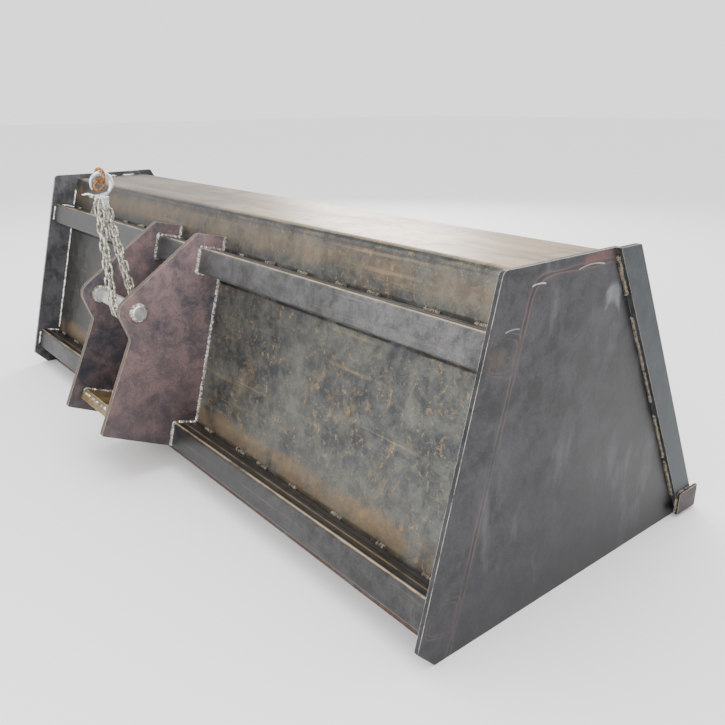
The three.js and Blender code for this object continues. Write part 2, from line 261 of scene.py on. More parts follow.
# %% Blotches, rust tone and streaks
def blotch_nodes(tree, given):
    moved = calc3(tree, "ADD", given["Vector"], given["Seed"])
    noise = clouds(tree, moved, given["Scale"], 9, 0.7, 0.6)
    edge = calc(tree, "SUBTRACT", 0.72, calc(tree, "MULTIPLY", given["Amount"], 0.4))
    return {"Mask": between(tree, noise, edge, calc(tree, "ADD", edge, given["Softness"]))}


def rust_nodes(tree, given):
    tone = between(tree, clouds(tree, given["Vector"], 34, 7, 0.75), 0.36, 0.64)
    return {"Color": mix(tree, tone, given["Deep"], given["Pale"])}


def streak_nodes(tree, given):
    drawn = calc3(tree, "MULTIPLY", given["Vector"], given["Stretch"])
    lines = clouds(tree, drawn, 1.0, 6, 0.65)
    where = between(tree, clouds(tree, given["Vector"], 3.2, 3, 0.5), 0.38, 0.6)
    edge = calc(tree, "SUBTRACT", 0.74, calc(tree, "MULTIPLY", given["Amount"], 0.3))
    mask = rescale(tree, lines, edge, calc(tree, "ADD", edge, 0.12))
    return {"Mask": calc(tree, "MULTIPLY", mask, where)}


blotches = new_group(
    "Blotches", blotch_nodes,
    {"Vector": VECTOR, "Scale": VALUE, "Amount": VALUE, "Softness": VALUE, "Seed": VALUE},
    {"Mask": VALUE})
rust_tone = new_group("Rust tone", rust_nodes,
                      {"Vector": VECTOR, "Deep": COLOUR, "Pale": COLOUR}, {"Color": COLOUR})
streaks = new_group("Streaks", streak_nodes,
                    {"Vector": VECTOR, "Stretch": VECTOR, "Amount": VALUE}, {"Mask": VALUE})

# %% [markdown]
# ## Rubbed edges and painted edge highlights
# Handling rubs the scale off a plate's corners first, and a slightly rounded corner catches
# the light; the bright line here is partly that wear and partly a painted highlight. A
# Bevel node gives the normal that a slightly rounded corner would have. Where it differs
# from the true one there is an edge, and a noise breaks the bright line up, because no edge
# is rubbed evenly.


# %% Rubbed edges and painted edge highlights
def edge_nodes(tree, given):
    rounded = add(tree, "ShaderNodeBevel", {"Radius": given["Radius"]}, samples=4).outputs[0]
    sharp = add(tree, "ShaderNodeNewGeometry").outputs["Normal"]
    same = calc3(tree, "DOT_PRODUCT", rounded, sharp)
    corner = calc(tree, "MULTIPLY", calc(tree, "SUBTRACT", 1.0, same), 6.0)
    patchy = between(tree, clouds(tree, given["Vector"], 38, 5, 0.65), 0.3, 0.6)
    worn_and_lit = calc(tree, "MULTIPLY", calc(tree, "MULTIPLY", corner, patchy), given["Amount"])
    return {"Mask": calc(tree, "MINIMUM", worn_and_lit, 1.0)}


edge_wear_and_highlight = new_group("Edge wear and highlight", edge_nodes,
                      {"Vector": VECTOR, "Radius": VALUE, "Amount": VALUE}, {"Mask": VALUE})

# %% [markdown]
# ## Heat tint and lines
# Welding the far side of a plate leaves a heat line on this side: a dark core, pinkish
# rims and a purple-blue fringe. Plain lines carry the other marks and some painted light:
# painted shade along the tubes and the bend of the sheet, painted glints on the end plate
# and painted reflections on the tubes. Both groups only need a distance from the mark,
# which a noise pushes to and fro so that nothing looks ruled, and each plate works out its
# own distances.

# %% Heat tint and drawn lines
HEAT_TONES = ((0.0, "2c2624", 0.8), (0.13, "3a302f", 0.8), (0.24, "7f6460", 0.55),
              (0.36, "5c4448", 0.45), (0.62, "39353f", 0.35), (1.0, "3c3e46", 0.0))


def wavering(tree, given, scale, sway):
    """The distance in widths of the mark, with a noise of so many cells to the metre in it."""
    waver = calc(tree, "SUBTRACT", clouds(tree, given["Vector"], scale, 4, 0.6), 0.5)
    size = calc(tree, "DIVIDE", calc(tree, "ABSOLUTE", given["Distance"]), given["Width"])
    return calc(tree, "MULTIPLY_ADD", waver, sway, size)


def heat_nodes(tree, given):
    size = calc(tree, "ABSOLUTE", wavering(tree, given, 11, 0.7))
    ramp = add(tree, "ShaderNodeValToRGB", {0: size})
    stops = ramp.color_ramp.elements
    stops.remove(stops[1])
    for place, tone, strength in HEAT_TONES:
        stop = stops.new(place) if place else stops[0]
        stop.color = (*paint(tone)[:3], strength)
    blotch = between(tree, clouds(tree, given["Vector"], 6.5, 5, 0.62), 0.38, 0.62)
    kept = calc(tree, "MULTIPLY", ramp.outputs["Alpha"],
                calc(tree, "MULTIPLY_ADD", blotch, 0.85, 0.15))
    return {"Color": ramp.outputs["Color"],
            "Mask": calc(tree, "MULTIPLY", kept, given["Strength"])}


def line_nodes(tree, given):
    size = wavering(tree, given, 25, 1.1)
    inside = calc(tree, "SUBTRACT", 1.0, between(tree, size, 0.25, 1.0))
    broken = between(tree, clouds(tree, given["Vector"], 9, 6, 0.7), 0.3, 0.55)
    kept = calc(tree, "MULTIPLY", inside, broken)
    return {"Mask": calc(tree, "MULTIPLY", kept, given["Strength"])}


MARK = {"Vector": VECTOR, "Distance": VALUE, "Width": VALUE, "Strength": VALUE}
heat_tint = new_group("Heat tint", heat_nodes, MARK, {"Color": COLOUR, "Mask": VALUE})
drawn_line = new_group("Drawn line", line_nodes, MARK, {"Mask": VALUE})

# %% [markdown]
# ## Where things are
# The rear edge of the end plates leans forward, and the tubes, ears and welds are laid out
# square to it. One function turns "so far up the rear edge, so far in from it" into a
# place, so that the same few driving sizes serve the finishes and the weld beads.

# %% Layout of the bucket
LEAN = math.radians(14.6)
HEEL = 0.010  # cut off the corner at the foot of the rear edge, along Y
SHEET = 0.006
BACK_INSET = 0.0685
TUBE_INSET = 0.011
TUBE_HEIGHT = 0.057
TUBE_FEET = {"upper_tube": 0.468, "lower_tube": 0.062}
EAR_TOP = 0.556
TOP_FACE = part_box("shell_sheet")[1].z
PLATE_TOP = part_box("end_plate_right")[1].z
PLATE_FRONT = 0.426  # the top of the front edge, ahead of the rear corner
FRONT_SLOPE = 0.5507
high_foot, low_foot = TUBE_FEET["upper_tube"], TUBE_FEET["lower_tube"]
rear_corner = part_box("end_plate_right")[0].y - HEEL
plate_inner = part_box("end_plate_right")[0].x
plate_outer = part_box("end_plate_right")[1].x


def up_rear(up, inward, x=0.0):
    """A point so far up the rear edge and so far in from it, at the given X."""
    return Vector((x, rear_corner + up * math.sin(LEAN) + inward * math.cos(LEAN),
                   up * math.cos(LEAN) - inward * math.sin(LEAN)))


def down_front(height, ahead, x=0.0):
    """A point beside the slanting front edge of an end plate."""
    across = math.hypot(1, FRONT_SLOPE)
    forward = PLATE_FRONT + (PLATE_TOP - height) * FRONT_SLOPE + ahead * across
    return Vector((x, rear_corner + forward, height))


def centre_of(node):
    low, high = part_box(node)
    return (low + high) / 2


print("rear corner at y =", round(rear_corner, 4), "plates at", round(plate_outer, 4))

# %% [markdown]
# ## A finish for rolled plate
# Every plate starts from mill scale and has rust, smears, rubbed edges and heat tint laid
# over it, in the order in which they happened; the rubbed edges are partly a painted
# highlight. A tan wash on upward faces is partly a painted sheen, and painted light and
# shade make each plate lighter or darker across and up the bucket. One function with a
# setting for each layer does for all of them, which is easier to keep alike than nine
# separate materials. Scale is an oxide, so it is only partly metallic.


# %% Start, cover and end a finish
def start_finish(name):
    material = bpy.data.materials.new(name)
    material.use_nodes = True
    tree = material.node_tree
    tree.nodes.clear()
    print("finish:", name)
    return material, tree, add(tree, "ShaderNodeTexCoord").outputs["Object"]


def lay_over(tree, coat, mask, tone, rough):
    """Covers a coat, which is a colour and a roughness, where the mask says so."""
    colour, under = coat
    rough = calc(tree, "ADD", calc(tree, "MULTIPLY", mask, rough),
                 calc(tree, "MULTIPLY", calc(tree, "SUBTRACT", 1.0, mask), under))
    return mix(tree, mask, colour, tone), rough


def end_finish(tree, coat, metallic=0.0, height=None, depth=0.0004, specular=0.5):
    colour, rough = coat
    shader = add(tree, "ShaderNodeBsdfPrincipled", {
        "Base Color": colour, "Roughness": rough, "Metallic": metallic,
        "Specular IOR Level": specular,
    })
    if height is not None:
        bump = add(tree, "ShaderNodeBump",
                   {"Height": height, "Distance": depth, "Strength": 0.5})
        tree.links.new(bump.outputs[0], shader.inputs["Normal"])
    add(tree, "ShaderNodeOutputMaterial", {"Surface": shader.outputs[0]})


# %% A finish for rolled plate
def rolled_plate(name, dark, light, *, rust=0.2, rust_scale=7.0,
                 rust_tones=("6e4e2c", "a4824f"), stain=0.15, chips=0.1, drag=(3, 60, 60),
                 drag_amount=0.3, drag_tone="8d8c88", edge=0.5, rubbed_and_lit_edge_tone="b5b0a6",
                 patches=4.5, tints=(), lines=(), cut_tone=None, top_rust_and_sheen=None,
                 painted_light_across=(1, 1), painted_light_upward=(1, 1), metallic=0.35, gloss=0.0, specular=0.5):
    """tints and lines list functions of (tree, place) that measure how far a mark is."""
    material, tree, place = start_finish(name)

    def blotch(amount, size, softness, seed):
        return use(tree, blotches, Vector=place, Scale=size, Amount=amount,
                   Softness=softness, Seed=seed)["Mask"]

    def face_normal():
        return parts(tree, add(tree, "ShaderNodeNewGeometry").outputs["True Normal"])

    scale = use(tree, mill_scale, Vector=place, Dark=paint(dark), Light=paint(light),
                Patches=patches, Grain=300.0)
    coat = scale["Color"], calc(tree, "SUBTRACT", scale["Roughness"], gloss)
    # A tan wash on upward faces, streaked along X: partly rust colour, partly a painted sheen of
    # the overhead light on the top sheet.
    if top_rust_and_sheen:
        rolled = clouds(tree, calc3(tree, "MULTIPLY", place, (2.6, 17, 1)), 1.0, 8, 0.66, 0.8)
        rust_and_sheen_wash = mix(tree, between(tree, rolled, 0.34, 0.66), *map(paint, top_rust_and_sheen))
        flat = between(tree, face_normal()["Z"], 0.5, 0.99)
        coat = lay_over(tree, coat, calc(tree, "MULTIPLY", flat, 0.6), rust_and_sheen_wash, 0.4)
    tan = use(tree, rust_tone, Vector=place, Deep=paint(rust_tones[0]),
              Pale=paint(rust_tones[1]))["Color"]
    smear = use(tree, streaks, Vector=place, Stretch=drag, Amount=drag_amount)["Mask"]
    for mask, share, tone, rough in (
            (smear, 0.5, paint(drag_tone), 0.34),
            (blotch(rust, rust_scale, 0.18, 0.0), 0.46, tan, 0.6),
            (blotch(stain, 9.0, 0.14, 3.7), 0.6, paint("222120"), 0.42),
            (blotch(chips, 75.0, 0.06, 8.1), 0.5, tan, 0.62)):
        coat = lay_over(tree, coat, calc(tree, "MULTIPLY", mask, share), tone, rough)
    # Painted light and shade: one pair of factors scales the colour from the far end plate to the
    # near one, and another from the floor up to the top face, so parts are lighter or darker as
    # the lamps fall on them.
    at = parts(tree, place)
    across = rescale(tree, at["X"], -plate_inner, plate_inner, *painted_light_across)
    upward = rescale(tree, at["Z"], 0.0, TOP_FACE, *painted_light_upward)
    coat = dim(tree, coat[0], calc(tree, "MULTIPLY", across, upward)), coat[1]
    for distance_of, width, strength in tints:
        tint = use(tree, heat_tint, Vector=place, Distance=distance_of(tree, place),
                   Width=width, Strength=strength)
        coat = mix(tree, tint["Mask"], coat[0], tint["Color"]), coat[1]
    for distance_of, width, strength, tone, rough in lines:
        line = use(tree, drawn_line, Vector=place, Distance=distance_of(tree, place),
                   Width=width, Strength=strength)
        coat = lay_over(tree, coat, line["Mask"], paint(tone), rough)
    if cut_tone:
        side = calc(tree, "LESS_THAN", calc(tree, "ABSOLUTE", face_normal()["X"]), 0.5)
        coat = lay_over(tree, coat, calc(tree, "MULTIPLY", side, 0.8), paint(cut_tone), 0.5)
    # Light rubbed edges: partly wear, partly a painted highlight along the corners.
    worn_and_lit = use(tree, edge_wear_and_highlight, Vector=place, Radius=0.0015, Amount=edge)["Mask"]
    coat = lay_over(tree, coat, worn_and_lit, paint(rubbed_and_lit_edge_tone), 0.3)
    end_finish(tree, coat, metallic, scale["Height"], specular=specular)
    return material


# %% [markdown]
# ## Where the marks are
# A heat tint follows a weld that is hidden behind the plate, and a line of painted shade
# follows the seam or bend that it lies along. A painted mask would have to be redrawn for
# every change of size. Here each mark is a function that builds the nodes for "how far is
# this point from the mark", out of the same sizes as the welds themselves.

# %% Distances from straight marks
PIN_WELD_REACH = 0.024


def along_rear(tree, place):
    """How far up the rear edge and how far in from it a point of the surface is."""
    away = calc3(tree, "SUBTRACT", place, (0, rear_corner, 0))
    axes = ((0, math.sin(LEAN), math.cos(LEAN)), (0, math.cos(LEAN), -math.sin(LEAN)))
    return [calc3(tree, "DOT_PRODUCT", away, axis) for axis in axes]


def behind_shell(tree, place):
    """The back and top sheets are welded to the other side of an end plate."""
    back = calc(tree, "SUBTRACT", along_rear(tree, place)[1], BACK_INSET + SHEET / 2)
    top = calc(tree, "SUBTRACT", TOP_FACE - SHEET, parts(tree, place)["Z"])
    return calc(tree, "SMOOTH_MIN", back, top, 0.05)


def at_height(up_there):
    """A line along the bucket at one height up the rear edge."""
    def distance_of(tree, place):
        return calc(tree, "SUBTRACT", along_rear(tree, place)[0], up_there)
    return distance_of


def on_tube(foot, inward_there):
    """A line along a tube's top face, so far in from its rear face."""
    def distance_of(tree, place):
        up, inward = along_rear(tree, place)
        off_up = calc(tree, "SUBTRACT", off(tree, up, foot + TUBE_HEIGHT), 0.003)
        return calc(tree, "MAXIMUM", off_up, off(tree, inward, TUBE_INSET + inward_there))
    return distance_of


# %% Distances from square, bent and round marks
def behind_tube(foot):
    """The end of a tube is welded to the other side of an end plate."""
    def distance_of(tree, place):
        up, inward = along_rear(tree, place)
        half = TUBE_HEIGHT / 2
        square = calc(tree, "SMOOTH_MAX", off(tree, up, foot + half),
                      off(tree, inward, TUBE_INSET + half), 0.02)
        return calc(tree, "SUBTRACT", square, half)
    return distance_of


def top_arc(ahead, height, half):
    """A short arc on the right end plate, so far ahead of the rear corner and so high."""
    def distance_of(tree, place):
        away = parts(tree, calc3(tree, "SUBTRACT", place, (0, rear_corner + ahead, height)))
        sag = calc(tree, "MULTIPLY", calc(tree, "MULTIPLY", away["Y"], away["Y"]), 0.12 / half)
        off_line = calc(tree, "ABSOLUTE", calc(tree, "ADD", away["Z"], sag))
        off_end = calc(tree, "SUBTRACT", calc(tree, "ABSOLUTE", away["Y"]), half)
        other_plate = calc(tree, "SUBTRACT", 0.0, parts(tree, place)["X"])
        return calc(tree, "MAXIMUM", calc(tree, "MAXIMUM", off_line, off_end), other_plate)
    return distance_of


def round_pin(tree, place):
    """The ring of weld round the hitch pin, on either ear."""
    flat = calc3(tree, "MULTIPLY", place, (0, 1, 1))
    axis = centre_of("hitch_pin") * Vector((0, 1, 1))
    return calc(tree, "SUBTRACT", calc3(tree, "DISTANCE", flat, axis), PIN_WELD_REACH)


# %% [markdown]
# ## Finishes of the plates
# The sheets lay in the open and are the rustiest. The end plates kept their dark scale,
# with heat marks and a few painted glints. The ears were cut out by flame, which turned
# them purple-brown and left their edges brown. Some lines are painted shade and painted
# reflections, and each finish is made lighter or darker across and up the bucket as
# painted light and shade. Each line below is a distance, a width, a strength, a tone and a
# roughness, and each tint a distance, a width and a strength.

# %% Marks of the plates
tube_tints = [(behind_tube(high_foot), 0.012, 0.42), (behind_tube(low_foot), 0.012, 0.36)]
sheet_marks_and_shade = [
    # Painted shadow: a black line on the back sheet just under the upper tube.
    (at_height(high_foot - 0.0135), 0.0045, 0.95, "0a0a0a", 0.6),
    # Painted shade in the crease along the top of each tube.
    (at_height(high_foot + TUBE_HEIGHT + 0.002), 0.006, 0.8, "151413", 0.5),
    (at_height(low_foot + TUBE_HEIGHT + 0.002), 0.006, 0.8, "151413", 0.5),
    # Painted shade along the bend of the top sheet, then a maroon mark just below it.
    (at_height(0.611), 0.004, 0.8, "141414", 0.4),
    (at_height(0.601), 0.0028, 0.5, "4a2c28", 0.5),
    # A red-brown band along the foot of the back sheet, and light tan bands above the tubes.
    (at_height(0.0), 0.055, 0.7, "5a3c34", 0.5),
    (at_height(low_foot + TUBE_HEIGHT + 0.024), 0.034, 0.4, "866c4c", 0.6),
    (at_height(high_foot + TUBE_HEIGHT + 0.045), 0.034, 0.3, "866e50", 0.6),
]
plate_marks_and_glints = [
    # Painted glints: three short bright arcs on the near end plate.
    (top_arc(0.358, 0.574, 0.032), 0.0014, 0.42, "c9cbd0", 0.25),
    (top_arc(0.232, 0.563, 0.014), 0.0016, 0.55, "d3d5d9", 0.25),
    (top_arc(0.180, 0.505, 0.014), 0.0014, 0.35, "b9bbc0", 0.25),
    # A wide maroon arc, a dark brown patch and a pale grey patch.
    (top_arc(0.385, 0.584, 0.040), 0.012, 0.45, "744a42", 0.5),
    (top_arc(0.150, 0.470, 0.005), 0.018, 0.4, "4d4438", 0.35),
    (top_arc(0.424, 0.520, 0.003), 0.022, 0.3, "a9abb0", 0.3),
]
# Painted reflections along the top face of each tube: two tan highlight lines and two dark lines,
# in turn, where the rounded tube would mirror the lamps.
tube_painted_reflections = []
for foot in (high_foot, low_foot):
    tube_painted_reflections += [(on_tube(foot, 0.004), 0.0026, 0.7, "c2ab84", 0.3),
                   (on_tube(foot, 0.010), 0.0022, 0.9, "221d19", 0.5),
                   (on_tube(foot, 0.024), 0.003, 0.6, "a88b62", 0.4),
                   (on_tube(foot, 0.036), 0.003, 0.8, "221d19", 0.5)]
print("marks:", len(tube_tints) + len(sheet_marks_and_shade) + len(plate_marks_and_glints) + len(tube_painted_reflections))

# %% Finishes of the end plates, sheets and tubes
# The factor pairs across and up are painted light and shade: the far end plate lighter, the far
# ends of the sheet and tubes darker, and the lower parts of the plates and tubes darker.
finishes = {
    "end_plate": rolled_plate(
        "end plate scale", "232425", "444446", rust=0.14, rust_scale=6.0, stain=0.26,
        chips=0.02, drag=(7, 12, 4), drag_amount=0.6, drag_tone="5c5d60", edge=0.8,
        rubbed_and_lit_edge_tone="d5d3cc", tints=[(behind_shell, 0.014, 0.62), *tube_tints],
        lines=plate_marks_and_glints, patches=3.4, painted_light_across=(2.2, 0.92), painted_light_upward=(0.72, 1.2), gloss=0.06,
        metallic=0.45, specular=0.32),
    "shell": rolled_plate(
        "rusted sheet", "2a2d30", "5a5a54", rust=0.46, stain=0.46, chips=0.4,
        drag=(2.0, 60, 60), drag_amount=0.5, drag_tone="8a7a5c", patches=4.6,
        lines=sheet_marks_and_shade, top_rust_and_sheen=("4c3b27", "a58a60"), painted_light_across=(0.45, 1.3),
        painted_light_upward=(0.9, 1.0), metallic=0.3, gloss=0.04, specular=0.42,
        rust_tones=("66553c", "9a7f58")),
    "floor": rolled_plate("floor scale", "3b3b3b", "55524e", rust=0.3, stain=0.2),
    "edge": rolled_plate("cutting edge scale", "3a3334", "574d44", rust=0.3),
    "tube": rolled_plate(
        "tube steel", "2b2b2b", "4e4d4e", rust_scale=8.0, stain=0.22, chips=0.04,
        drag=(1.8, 80, 80), drag_amount=0.5, drag_tone="7d705c", edge=0.6,
        rubbed_and_lit_edge_tone="c9b48e", patches=5.2, lines=tube_painted_reflections, painted_light_across=(0.5, 1.8),
        painted_light_upward=(0.3, 1.15), gloss=0.06, metallic=0.4, specular=0.42),
}

# %% Finishes of the ears, bars and shelf
finishes |= {
    # The ears get painted shade and light too: darker towards their feet, lighter at the top.
    "ear": rolled_plate(
        "flame-cut plate", "40434a", "7e6968", rust_scale=6.0, stain=0.34, chips=0.03,
        drag=(6, 10, 50), drag_tone="7f5a3c", edge=1.0, rubbed_and_lit_edge_tone="cdb79a", patches=4.0,
        painted_light_upward=(0.35, 1.5), tints=[(round_pin, 0.012, 0.6)], cut_tone="493a2c",
        rust_tones=("5c4238", "7d5744")),
    "bar": rolled_plate(
        "side bar scale", "1d2022", "3d4246", rust=0.12, rust_scale=9.0, chips=0.06,
        drag=(30, 30, 4), drag_amount=0.35, drag_tone="6e5f52", edge=0.9,
        rubbed_and_lit_edge_tone="b39a80", patches=4.0, specular=0.36),
    "corner": rolled_plate(
        "corner plate scale", "191415", "3a2f2b", rust=0.3, rust_scale=22.0, stain=0.1,
        chips=0.2, drag=(14, 14, 14), drag_amount=0.2, drag_tone="75634f", edge=0.9,
        rubbed_and_lit_edge_tone="d6c4a4", specular=0.3),
    "shelf": rolled_plate(
        "shelf scale", "53442c", "8a7448", rust=0.4, rust_scale=20.0, stain=0.2, chips=0.2,
        drag=(4, 60, 60), drag_tone="b49c6a", edge=0.9, rubbed_and_lit_edge_tone="d9c79a"),
}

# %% Give the plates their finishes
FINISH_OF = {
    "shell_sheet": "shell", "floor_sheet": "floor", "cutting_edge": "edge",
    "shelf_plate": "shelf", "shelf_bar": "shelf", "upper_tube": "tube", "lower_tube": "tube",
}
for side in ("left", "right"):
    FINISH_OF |= {f"end_plate_{side}": "end_plate", f"mouth_bar_{side}": "bar",
                  f"corner_plate_{side}": "corner", f"hitch_ear_{side}": "ear"}
for name, finish in FINISH_OF.items():
    node = nodes[name]
    if node.material_slots:
        node.material_slots[0].material = finishes[finish]
    else:
        node.data.materials.append(finishes[finish])
print("dressed", len(FINISH_OF), "plates")

# %% [markdown]
# ## Floor
# The floor is one big grid just under the bucket, far wider than the picture, so that no
# edge of it shows.

# %% Floor
FLOOR_HALF = 30
floor_mesh = bmesh.new()
bmesh.ops.create_grid(floor_mesh, x_segments=2, y_segments=2, size=FLOOR_HALF)
floor_data = bpy.data.meshes.new("floor")
floor_mesh.to_mesh(floor_data)
floor_mesh.free()
floor = bpy.data.objects.new("floor", floor_data)
floor.location.z = cad_box[0].z - 0.0005
bpy.context.scene.collection.objects.link(floor)
floor_finish, floor_tree, _ = start_finish("pale floor")
end_finish(floor_tree, (paint("f4f4f4"), 0.9))
floor_data.materials.append(floor_finish)

# %% [markdown]
# ## Finishes of the fittings
# The weld beads, the zinc plated chain, the hook's silver coat and the rusty joining
# links each get a finish of their own. Zinc is mottled, a fresh bead is bright, an old
# one has gone brown, and the rust on the links is thick enough to be rough. They are small
# in the picture, so two noises, some rust and a light rubbed edge, which is partly a
# painted highlight, are enough.


# %% Fitting finishes
def fitting(name, dark, light, metallic, rough, size, depth=0.0002, rub_and_highlight_tone="d8d8d4", edge=0.4,
            rust=0.0):
    material, tree, place = start_finish(name)
    patches = clouds(tree, place, size, 4, 0.6)
    fine = clouds(tree, place, size * 9, 3, 0.7)
    coat = (mix(tree, between(tree, patches, 0.35, 0.65), paint(dark), paint(light)),
            calc(tree, "MULTIPLY_ADD", patches, 0.2, rough - 0.1))
    if rust:
        bloom = use(tree, blotches, Vector=place, Scale=size, Amount=rust, Softness=0.1,
                    Seed=0.0)["Mask"]
        tan = use(tree, rust_tone, Vector=place, Deep=paint("6b4526"), Pale=paint("a87a48"))
        coat = lay_over(tree, coat, bloom, tan["Color"], 0.7)
    # Light rubbed edges: partly wear, partly a painted highlight along the corners.
    worn_and_lit = use(tree, edge_wear_and_highlight, Vector=place, Radius=0.0012, Amount=edge)["Mask"]
    coat = lay_over(tree, coat, worn_and_lit, paint(rub_and_highlight_tone), 0.3)
    end_finish(tree, coat, metallic, calc(tree, "MULTIPLY_ADD", fine, 0.5, patches), depth)
    return material


weld_finish = fitting("weld bead", "706e68", "e6e6e2", 0.8, 0.3, 150, 0.0003, edge=0.2)
dull_weld = fitting("old weld bead", "2f2b27", "6e6454", 0.4, 0.45, 110, 0.0004,
                    rub_and_highlight_tone="c9bfae", edge=0.5)
zinc = fitting("zinc plate", "6a685c", "d2d0c0", 0.6, 0.36, 160, rust=0.2)
hook_coat = fitting("silver coat", "a9abb0", "f1f2f5", 0.6, 0.22, 60)
link_rust = fitting("rusty link", "4f2c12", "a8743c", 0.2, 0.6, 170, 0.0004, rub_and_highlight_tone="d9a868",
                    edge=0.3, rust=0.2)
bright = fitting("sawn steel", "a5a5a3", "cfcfcd", 0.7, 0.32, 60)
tag_finish = fitting("tag plate", "45453f", "85857b", 0.5, 0.4, 150, rust=0.2)

# %% [markdown]
# ## One way to make a bent bar
# A weld bead, a chain link and a hook are all a round section carried along a line. A curve
# with a bevel would do it too, but its section can't change from round to flat. Here the
# section starts as a circle, and each station extrudes the rim, then moves, turns and
# scales the new rim to where it belongs: Extrude, Grab and Rotate, done in a loop.


# %% Sweep a section along stations
def extrude_rim(bm, edges):
    """Extrudes a ring of edges on the spot, and gives the new ring's vertices and edges."""
    grown = bmesh.ops.extrude_edge_only(bm, edges=edges)["geom"]
    rim = [part for part in grown if isinstance(part, bmesh.types.BMVert)]
    edges = [part for part in grown if isinstance(part, bmesh.types.BMEdge)
             and all(vert in rim for vert in part.verts)]
    return rim, edges


def facing(point, ahead, side):
    """A matrix whose Z looks ahead along the line and whose X is kept near the side."""
    forward = ahead.normalized()
    right = (side - forward * side.dot(forward)).normalized()
    turn = Matrix((right, forward.cross(right), forward)).transposed()
    return Matrix.Translation(point) @ turn.to_4x4()


def sweep(stations, side, segments):
    """stations lists (point, half size along side, half size across); the ends are capped."""
    bm = bmesh.new()
    points = [station[0] for station in stations]
    rim = bmesh.ops.create_circle(bm, segments=segments, radius=1.0)["verts"]
    first_edges = edges = list(bm.edges)
    last = Matrix.Identity(4)
    for i, (point, half_side, half_across) in enumerate(stations):
        ahead = points[min(i + 1, len(points) - 1)] - points[max(i - 1, 0)]
        here = facing(point, ahead, side) @ Matrix.Diagonal((half_side, half_across, 1, 1))
        if i:
            rim, edges = extrude_rim(bm, edges)
        bmesh.ops.transform(bm, matrix=here @ last.inverted(), verts=rim)
        last = here
    for end in (first_edges, edges):
        bmesh.ops.edgeloop_fill(bm, edges=end)
    bmesh.ops.recalc_face_normals(bm, faces=bm.faces)
    return bm


# %% Join and keep finished pieces
def take_in(target, source):
    """Adds one mesh's parts to another and frees it."""
    carrier = bpy.data.meshes.new("carrier")
    source.to_mesh(carrier)
    source.free()
    target.from_mesh(carrier)
    bpy.data.meshes.remove(carrier)


def keep(bm, name, body, material, sharp=40, replaces=()):
    """Turns a finished bmesh into a piece that rides on a body."""
    data = bpy.data.meshes.new(name)
    bm.to_mesh(data)
    bm.free()
    data.shade_smooth()
    data.set_sharp_from_angle(angle=math.radians(sharp))
    data.materials.append(material)
    piece = bpy.data.objects.new(name, data)
    bpy.context.scene.collection.objects.link(piece)
    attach(piece, body)
    if replaces:
        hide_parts(*replaces)
    print(name, "faces:", len(data.polygons))


# %% [markdown]
# ## Weld beads
# A hand-laid bead is a row of overlapping ripples. Each ripple here is three stations:
# a small one where it starts, a full one at its middle and nearly the same at its end.
# A little random wander keeps two beads from looking alike. A bump on a smooth rod would
# be quicker, but it would look smooth from the side. Long seams on this bucket are
# stitched, with bare gaps between short beads.

# %% A bead and a row of stitches
RIPPLE = 0.0055
RIPPLE_STATIONS = ((0.05, 0.72), (0.5, 1.0), (0.9, 0.94))  # share of its length, of its size
BEAD_END = 0.35
WANDER = 0.12
chance = random.Random(7)


def bead(bm, path, radius, side=Vector((1, 0, 0))):
    """Lays a rippled bead along straight runs between the points of a path."""
    stations = []
    for start, end in zip(path, path[1:]):
        run = end - start
        ripples = max(2, round(run.length / RIPPLE))
        for ripple in range(ripples):
            swell = radius * (1 + chance.uniform(-WANDER, WANDER))
            drift = Vector([chance.uniform(-1, 1) for _ in range(3)]) * radius * WANDER
            for share, part in RIPPLE_STATIONS:
                point = start + run * ((ripple + share) / ripples) + drift
                stations.append((point, swell * part, swell * part))
    for index in (0, -1):
        point, wide, high = stations[index]
        stations[index] = (point, wide * BEAD_END, high * BEAD_END)
    take_in(bm, sweep(stations, side, 7))


def stitches(bm, start, end, radius, length, pitch):
    """Lays short beads of about one length, one to each pitch of the run."""
    run = end - start
    for i in range(max(1, int(run.length / pitch))):
        middle_at = (i + 0.5 + chance.uniform(-0.16, 0.16)) * pitch
        half = length * chance.uniform(0.7, 1.25) / 2
        ends = [start + run.normalized() * (middle_at + offset) for offset in (-half, half)]
        bead(bm, ends, radius * chance.uniform(0.85, 1.1), Vector((0, 0, 1)))


# %% [markdown]
# ## Tube welds
# The tubes are stitched to the back sheet above and below, and welded to the end plates
# up their rear face and along the top. The stitches have rusted, so they are two
# pieces with a finish each.

# %% Tube welds
tube_stitches = bmesh.new()
tube_welds = bmesh.new()
STITCH_INSET = BACK_INSET - 0.001
inside = plate_inner - 0.004
ear_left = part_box("hitch_ear_left")[0].x - 0.01
ear_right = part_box("hitch_ear_right")[1].x + 0.01
for foot in TUBE_FEET.values():
    top = foot + TUBE_HEIGHT
    for up in (top, foot - 0.001):
        for x0, x1 in ((-inside, ear_left), (ear_right, inside)):
            stitches(tube_stitches, up_rear(up, STITCH_INSET, x0),
                     up_rear(up, STITCH_INSET, x1), radius=0.0056, length=0.034, pitch=0.118)
    for x in (-plate_inner, plate_inner):
        bead(tube_welds, [up_rear(foot + 0.006, TUBE_INSET, x),
                          up_rear(top - 0.006, TUBE_INSET, x)], radius=0.0042)
        bead(tube_welds, [up_rear(top, TUBE_INSET + 0.02, x), up_rear(top, BACK_INSET, x)],
             radius=0.0038)
keep(tube_stitches, "tube_stitches", "bucket", dull_weld)
keep(tube_welds, "tube_welds", "bucket", weld_finish)

# %% [markdown]
# ## Ear welds
# The ears carry the whole bucket, so they are welded without a gap. The bead goes down the
# back sheet and round the three sides of each tube, which is one path of straight runs, and
# the same path is laid on both faces of both ears.

